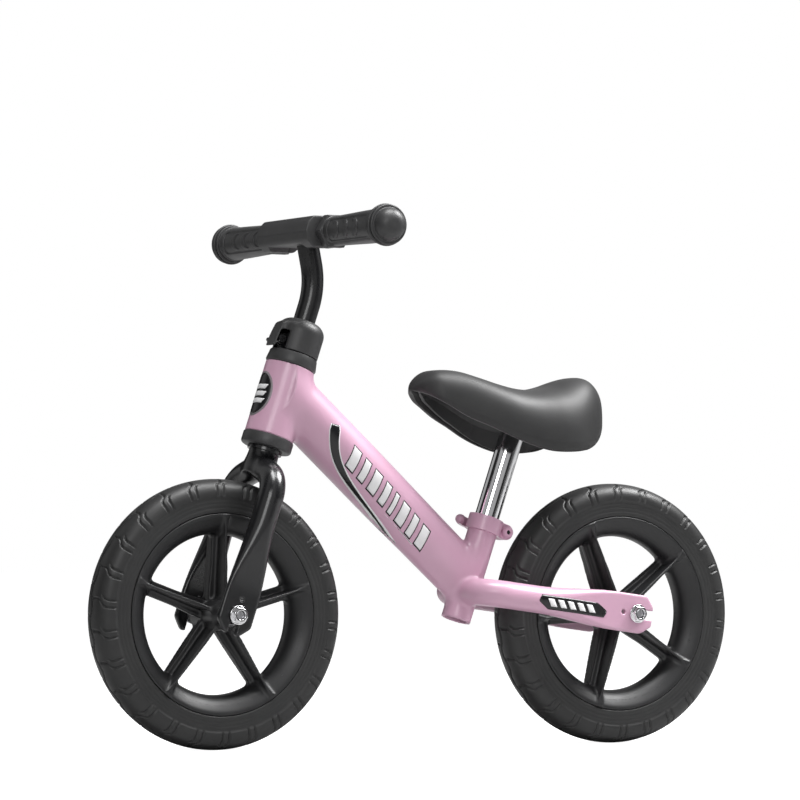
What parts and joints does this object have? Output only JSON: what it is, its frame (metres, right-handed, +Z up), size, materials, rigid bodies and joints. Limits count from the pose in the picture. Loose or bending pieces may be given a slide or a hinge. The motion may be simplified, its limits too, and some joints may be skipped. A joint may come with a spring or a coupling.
{
  "type": "balance bike",
  "caption": "Child's balance bike with a sloping tube frame, spoked foam-tyred wheels, a straight handlebar on a clamped stem and a height-adjustable saddle.",
  "frame": {"origin": "on the ground, midway between the two wheel axles, in the bike's centre plane", "axes": "+X the way the bike rolls forward, +Y to the rider's left, +Z up"},
  "size_m": [0.784, 0.412, 0.5792],
  "materials": {
    "pink_paint": "satin powder coat",
    "black_paint": "semi-gloss enamel",
    "black_plastic": "satin moulded",
    "rim_plastic": "satin moulded",
    "tyre_foam": "matte foam skin",
    "grip_rubber": "matte moulded",
    "saddle_skin": "satin skin over foam",
    "chrome": "polished",
    "steel": "zinc plated"
  },
  "bodies": {
    "frame": {"head_tube": "pink_paint", "main_tube": "pink_paint", "seat_tube": "pink_paint", "chainstay_left": "pink_paint", "chainstay_right": "pink_paint", "upper_cup": "black_plastic", "lower_cup": "black_plastic", "upper_bearing": "steel", "lower_bearing": "steel", "seat_collar": "pink_paint", "seat_skewer": "chrome", "seat_thumb_nut": "pink_paint", "lever_pin": "chrome", "rear_axle": "steel", "rear_axle_nuts": "chrome", "rear_tab_washers": "chrome", "rear_locknuts": "steel"},
    "seat_lever": {"seat_lever": "pink_paint"},
    "fork": {"steerer_tube": "black_paint", "fork_leg_left": "black_paint", "fork_leg_right": "black_paint", "crown_race": "black_paint", "headset_spacer": "black_paint", "steering_clamp": "black_paint", "clamp_bolt": "black_paint", "clamp_nut": "black_paint", "clamp_cover": "black_plastic", "front_axle": "steel", "front_axle_nuts": "chrome", "front_tab_washers": "chrome", "front_locknuts": "steel"},
    "handlebar": {"stem_tube": "black_paint", "handlebar_tube": "black_paint", "bar_cover_front": "black_plastic", "bar_cover_rear": "black_plastic", "bar_cover_screws": "steel", "grip_left": "grip_rubber", "grip_right": "grip_rubber"},
    "front_wheel": {"front_tyre": "tyre_foam", "front_rim": "rim_plastic", "front_bearings": "steel", "front_hub_spacer": "steel"},
    "rear_wheel": {"rear_tyre": "tyre_foam", "rear_rim": "rim_plastic", "rear_bearings": "steel", "rear_hub_spacer": "steel"},
    "seat": {"saddle_cover": "saddle_skin", "saddle_base": "black_plastic", "saddle_plate": "steel", "saddle_screws": "steel", "seat_post": "chrome"}
  },
  "joints": [
    {"name": "steering", "type": "hinge", "parent": "frame", "child": "fork", "pos_m": [0.247, 0, 0.145], "axis": [-0.3173, 0, 0.9483], "continuous": true},
    {"name": "handlebar_height", "type": "slide", "parent": "fork", "child": "handlebar", "axis": [-0.3173, 0, 0.9483], "range_m": [-0.012, 0.04]},
    {"name": "front_wheel_spin", "type": "hinge", "parent": "fork", "child": "front_wheel", "pos_m": [0.247, 0, 0.145], "axis": [0, 1, 0], "continuous": true},
    {"name": "rear_wheel_spin", "type": "hinge", "parent": "frame", "child": "rear_wheel", "pos_m": [-0.247, 0, 0.145], "axis": [0, 1, 0], "continuous": true},
    {"name": "seat_height", "type": "slide", "parent": "frame", "child": "seat", "axis": [-0.3256, 0, 0.9455], "range_m": [-0.05, 0.045]},
    {"name": "seat_clamp_lever", "type": "hinge", "parent": "frame", "child": "seat_lever", "pos_m": [-0.10667, -0.015, 0.23467], "axis": [0.3256, 0, -0.9455], "range_deg": [0, 120]}
  ]
}
